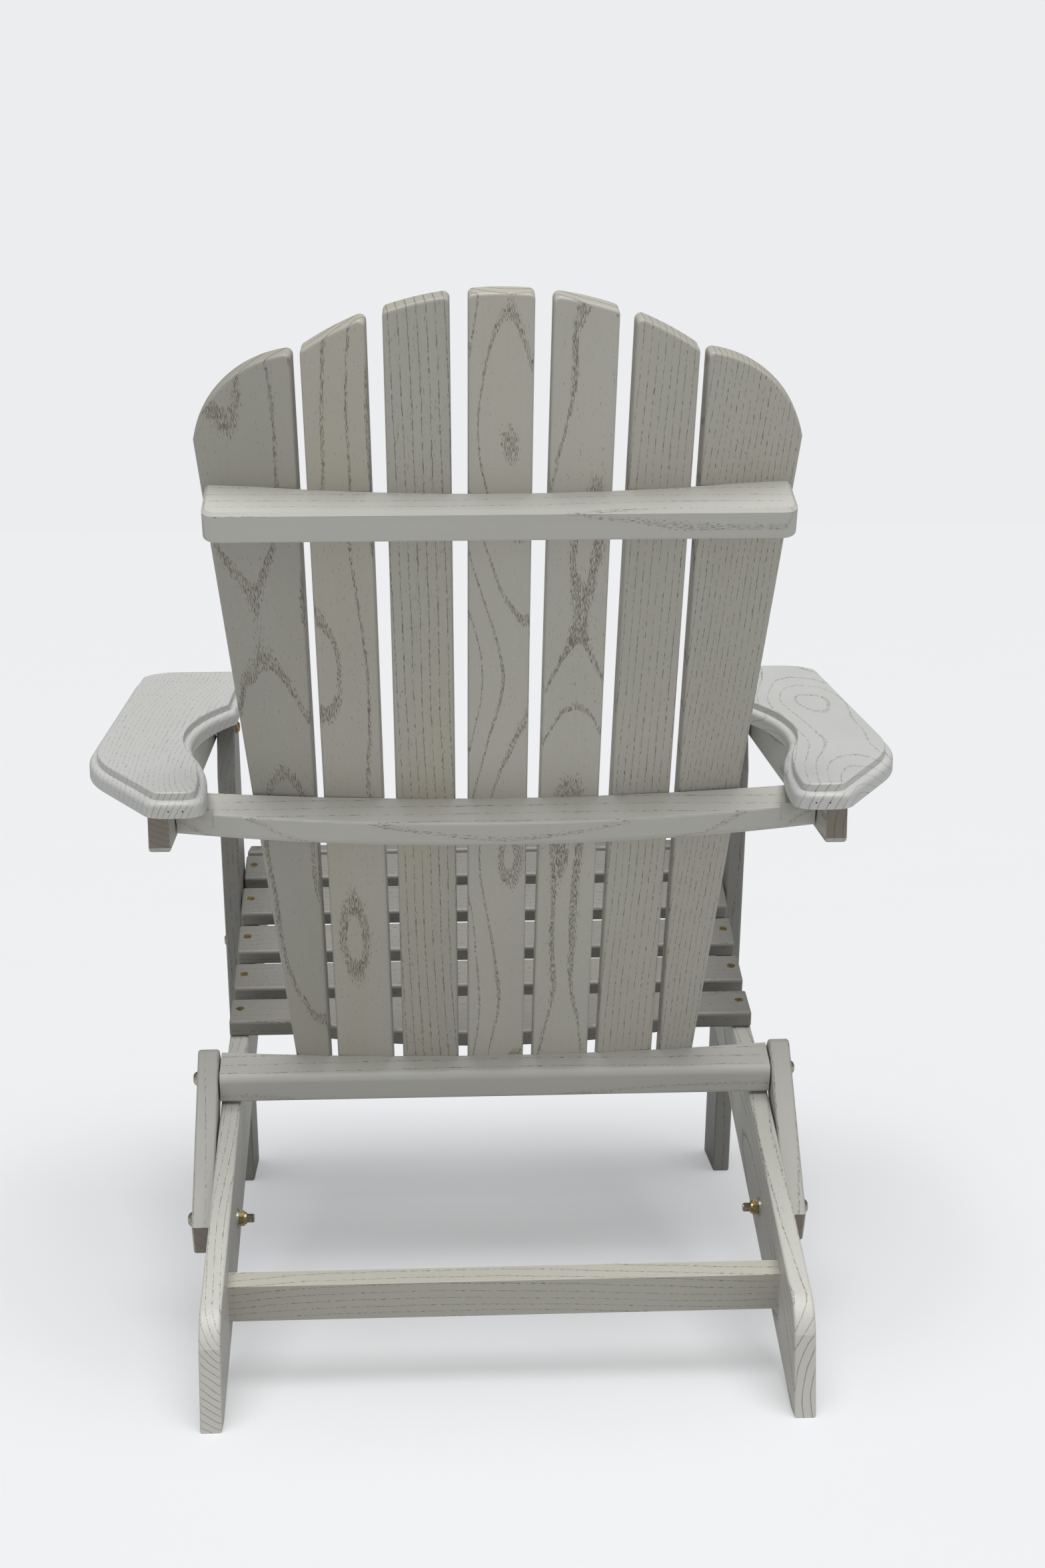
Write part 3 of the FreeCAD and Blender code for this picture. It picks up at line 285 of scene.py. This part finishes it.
# ================================================================ metal material
def thread_ridges(g, place, axis):
    """Height of a screw thread round a sideways axis. It is 1 on the crests and the plain shank."""
    parts = g.add("ShaderNodeSeparateXYZ")
    g.join(place, parts.inputs[0])
    rearward = g.math("SUBTRACT", parts.outputs[1], axis[0])
    upward = g.math("SUBTRACT", parts.outputs[2], axis[1])
    turn = g.math("DIVIDE", g.math("ARCTAN2", upward, rearward), 2.0 * math.pi)
    phase = g.math("FRACT", g.math("ADD", g.math("DIVIDE", parts.outputs[0], THREAD_PITCH), turn))
    ridge = g.math("SUBTRACT", 1.0, g.math("ABSOLUTE", g.math("MULTIPLY_ADD", phase, 2.0, -1.0)))
    inner = g.math("LESS_THAN", g.math("ABSOLUTE", parts.outputs[0]), THREAD_END)
    return g.math("ADD", g.math("MULTIPLY", ridge, inner), g.math("SUBTRACT", 1.0, inner))


def plated(name, colour, dark, roughness, thread_axis=None):
    """Zinc-plated steel with faint mottling and rubbed edges."""
    material = bpy.data.materials.new(name)
    g = Graph(material)
    place = g.add("ShaderNodeTexCoord").outputs["Object"]
    mottle = g.noise(place, 380.0, 4.0, 0.6)
    tint = g.mix(g.ramp(mottle, 0.35, 0.7), dark, colour)
    bright = tuple(min(1.0, channel * 1.25) for channel in colour[:3]) + (1.0,)
    tint = g.mix(g.math("MULTIPLY", g.edge_mask(METAL_EDGE_WIDTH), METAL_EDGE_WEAR), tint, bright)
    shader = g.add("ShaderNodeBsdfPrincipled")
    shader.inputs["Metallic"].default_value = 1.0
    g.join(g.math("MULTIPLY_ADD", mottle, 0.25, roughness - 0.1), shader.inputs["Roughness"])
    scratches = g.add("ShaderNodeBump")
    scratches.inputs["Strength"].default_value = 0.2
    scratches.inputs["Distance"].default_value = 0.0001
    g.join(g.noise(g.mapped(place, scale=(1.0, 3.0, 1.0)), 1400.0, 3.0), scratches.inputs["Height"])
    if thread_axis:
        ridges = thread_ridges(g, place, thread_axis)
        grooves = g.add("ShaderNodeBump")
        grooves.inputs["Distance"].default_value = THREAD_DEPTH
        g.join(ridges, grooves.inputs["Height"])
        g.join(grooves.outputs["Normal"], scratches.inputs["Normal"])
        # painted shade: the thread's grooves are darker
        tint = g.mix(g.ramp(ridges, 0.0, 0.6), dark, tint)
    g.join(tint, shader.inputs["Base Color"])
    g.join(scratches.outputs["Normal"], shader.inputs["Normal"])
    g.finish(shader)
    return material


# ================================================================ boards
def paint_back_slats():
    """Each slat is cut from a different place in the tree."""
    # cut, shade, warmth, openness
    looks = (
        ((0.120, 0.030, 0.0050, 0.5), 0.94, 0.10, 1.2),
        ((0.120, 0.020, 0.0062, 0.4), 0.98, 0.15, 0.7),
        ((0.002, 0.052, 0.0085, 1.5), 1.07, 0.05, 1.3),
        ((0.020, 0.045, 0.0080, 1.4), 1.05, 0.20, 1.2),
        ((0.120, 0.012, 0.0075, 0.4), 0.92, 0.60, 2.0),
        ((-0.012, 0.050, 0.0100, 1.5), 0.98, 0.40, 1.3),
        ((0.008, 0.056, 0.0120, 1.5), 0.82, 0.15, 1.1),
    )
    for number, (cut, shade, warmth, openness) in enumerate(looks, start=1):
        splay = math.radians(SLAT_SPLAY[number - 1])
        grain = (UP_THE_BACK * math.cos(splay) + SIDEWAYS * math.sin(splay)).normalized()
        wood(f"back_slat_{number}", grain, BEHIND_THE_BACK, cut, SLAT_PAINT, number, shade, warmth,
             openness)


def paint_seat_slats():
    for number, degrees in enumerate(SEAT_SLOPES, start=1):
        slope = math.radians(degrees)
        face = Vector((0.0, math.sin(slope), math.cos(slope)))
        cut = (0.03 + 0.015 * number, 0.05, 0.006, 0.8)
        wood(f"seat_slat_{number}", SIDEWAYS, face, cut, BOARD_PAINT, seed=20 + number, shade=SEAT_SHADE)


def paint_rails():
    cut = (0.140, 0.050, 0.0110, 0.4)
    for seed, part in enumerate(("lower", "middle", "upper"), start=30):
        wood(f"{part}_back_rail", SIDEWAYS, UP_THE_BACK, cut, BOARD_PAINT, seed, shade=0.98,
             openness=-1.6)
    face = Vector((0.0, math.cos(STRINGER_SLOPE), -math.sin(STRINGER_SLOPE)))
    cut = (0.05, 0.03, 0.0060, 0.8)
    wood("rear_stretcher", SIDEWAYS, face, cut, SLAT_PAINT, seed=34, shade=0.95, warmth=0.25)


def paint_side_boards():
    stringer = in_side_view(math.cos(STRINGER_SLOPE), math.sin(STRINGER_SLOPE))
    leg = in_side_view(*LEG_RUN)
    link = in_side_view(*LINK_RUN)
    arm = in_side_view(math.cos(ARM_SLOPE), math.sin(ARM_SLOPE))
    arm_up = in_side_view(-math.sin(ARM_SLOPE), math.cos(ARM_SLOPE))
    # part, grain, face, cut, paint, shade, openness, bare_end
    boards = (
        ("stringer", stringer, SIDEWAYS, (0.09, 0.05, 0.0050, 0.8), BOARD_PAINT, 1.00, 1.3, 0.1),
        ("front_leg", leg, SIDEWAYS, (0.08, 0.05, 0.0050, 0.8), BOARD_PAINT, LEG_SHADE, 1.2, 0.2),
        ("rear_link", link, SIDEWAYS, (0.06, 0.06, 0.0090, 0.6), BOARD_PAINT, 0.80, -0.8, 1.0),
        ("arm_bar", arm, SIDEWAYS, (0.09, 0.04, 0.0050, 0.6), BOARD_PAINT, 0.90, 1.0, 1.0),
        ("arm_board", arm, arm_up, (0.11, 0.045, 0.0046, 1.6), ARM_PAINT, 0.93, -0.4, 0.2),
    )
    for seed, (part, grain, face, cut, paint, shade, openness, bare_end) in enumerate(boards, start=40):
        for step, side in enumerate(("left", "right")):
            # the right-hand boards are cut nearer the tree's centre, with wider rings
            own_cut = (cut[0] - 0.10 * step, cut[1], cut[2] * (1.0 + 0.5 * step), cut[3])
            wood(f"{part}_{side}", grain, face, own_cut, paint, seed + 10 * step, shade, warmth=0.12,
                 openness=openness, bare_end=bare_end)


def plate_hardware():
    # colour, darker colour, roughness
    yellow = (0.64, 0.52, 0.28, 1.0), (0.32, 0.25, 0.12, 1.0), 0.30
    pale = (0.66, 0.62, 0.50, 1.0), (0.36, 0.33, 0.25, 1.0), 0.28
    plain = plated("yellow_zinc", *yellow)
    silver = plated("silver_zinc", (0.66, 0.66, 0.64, 1.0), (0.42, 0.42, 0.40, 1.0), 0.30)
    black = plated("black_steel", (0.10, 0.09, 0.08, 1.0), (0.04, 0.035, 0.03, 1.0), 0.45)
    yellow_words = ("bolt", "nuts", "screws", "inserts")
    for name in nodes:
        if "nails" in name:
            cover(name, black)
        elif "washer" in name:
            cover(name, silver)
        elif any(word in name for word in yellow_words):
            cover(name, plain)
    for name, axis in (("link_pivot_bolts", LINK_AXIS), ("leg_pivot_bolts", LEG_AXIS)):
        cover(name, plated(f"threaded_{name}", *pale, axis))
    cover("back_pivot_bolts", plated("pale_zinc", *pale))


# ================================================================ studio
def floor_paper():
    """Matt white paper with an even lift that only the camera sees."""
    material = bpy.data.materials.new("floor_white")
    g = Graph(material)
    shader = g.add("ShaderNodeBsdfPrincipled")
    place = g.add("ShaderNodeTexCoord").outputs["Object"]
    cloud = g.noise(place, 3.0, 2.0)
    darker = tuple(channel * 0.985 for channel in FLOOR_COLOUR[:3]) + (1.0,)
    g.join(g.mix(cloud, darker, FLOOR_COLOUR), shader.inputs["Base Color"])
    shader.inputs["Roughness"].default_value = 0.7
    shader.inputs["Emission Color"].default_value = FLOOR_COLOUR
    seen = g.add("ShaderNodeLightPath").outputs["Is Camera Ray"]
    g.join(g.math("MULTIPLY", seen, FLOOR_GLOW), shader.inputs["Emission Strength"])
    g.finish(shader)
    return material


def build_floor():
    mesh = bpy.data.meshes.new("floor")
    signs = ((-1, -1), (1, -1), (1, 1), (-1, 1))
    corners = [(x * FLOOR_HALF, y * FLOOR_HALF, 0.0) for x, y in signs]
    mesh.from_pydata(corners, [], [(0, 1, 2, 3)])
    floor = bpy.data.objects.new("floor", mesh)
    bpy.context.scene.collection.objects.link(floor)
    mesh.materials.append(floor_paper())


def hang_backdrop():
    """White backdrop for the camera, and a dome that is brighter behind the chair's back."""
    world = bpy.data.worlds.new("studio")
    g = Graph(world)
    background = g.add("ShaderNodeBackground")
    background.inputs["Color"].default_value = BACKDROP_COLOUR
    direction = g.add("ShaderNodeSeparateXYZ")
    g.join(g.add("ShaderNodeTexCoord").outputs["Generated"], direction.inputs[0])
    rearward = g.ramp(direction.outputs["Y"], -0.7, 0.7)
    fill = g.math("MULTIPLY_ADD", rearward, FILL_REAR - FILL_FRONT, FILL_FRONT)
    seen = g.add("ShaderNodeLightPath").outputs["Is Camera Ray"]
    shown = g.math("MULTIPLY", seen, BACKDROP_STRENGTH)
    hidden = g.math("MULTIPLY", g.math("SUBTRACT", 1.0, seen), fill)
    g.join(g.math("ADD", shown, hidden), background.inputs["Strength"])
    g.finish(background, "ShaderNodeOutputWorld")
    bpy.context.scene.world = world


def hang_softbox():
    sun = bpy.data.lights.new("softbox", "SUN")
    sun.energy = SOFTBOX_STRENGTH
    sun.angle = math.radians(SOFTBOX_DEGREES)
    light = bpy.data.objects.new("softbox", sun)
    light.rotation_euler = Vector(SOFTBOX_DIRECTION).to_track_quat("-Z", "Y").to_euler()
    bpy.context.scene.collection.objects.link(light)


def place_camera():
    data = bpy.data.cameras.new("camera")
    data.lens = LENS_MM
    data.sensor_fit = "VERTICAL"
    data.sensor_height = SENSOR_MM
    camera = bpy.data.objects.new("camera", data)
    look = (CAMERA_AIM - CAMERA_PLACE).to_track_quat("-Z", "Y").to_matrix()
    roll = Matrix.Rotation(CAMERA_ROLL, 3, "Z")
    camera.matrix_world = Matrix.Translation(CAMERA_PLACE) @ (look @ roll).to_4x4()
    bpy.context.scene.collection.objects.link(camera)
    bpy.context.scene.camera = camera


paint_back_slats()
paint_seat_slats()
paint_rails()
paint_side_boards()
plate_hardware()
build_floor()
hang_backdrop()
hang_softbox()
place_camera()
bpy.context.scene.view_settings.view_transform = "Standard"
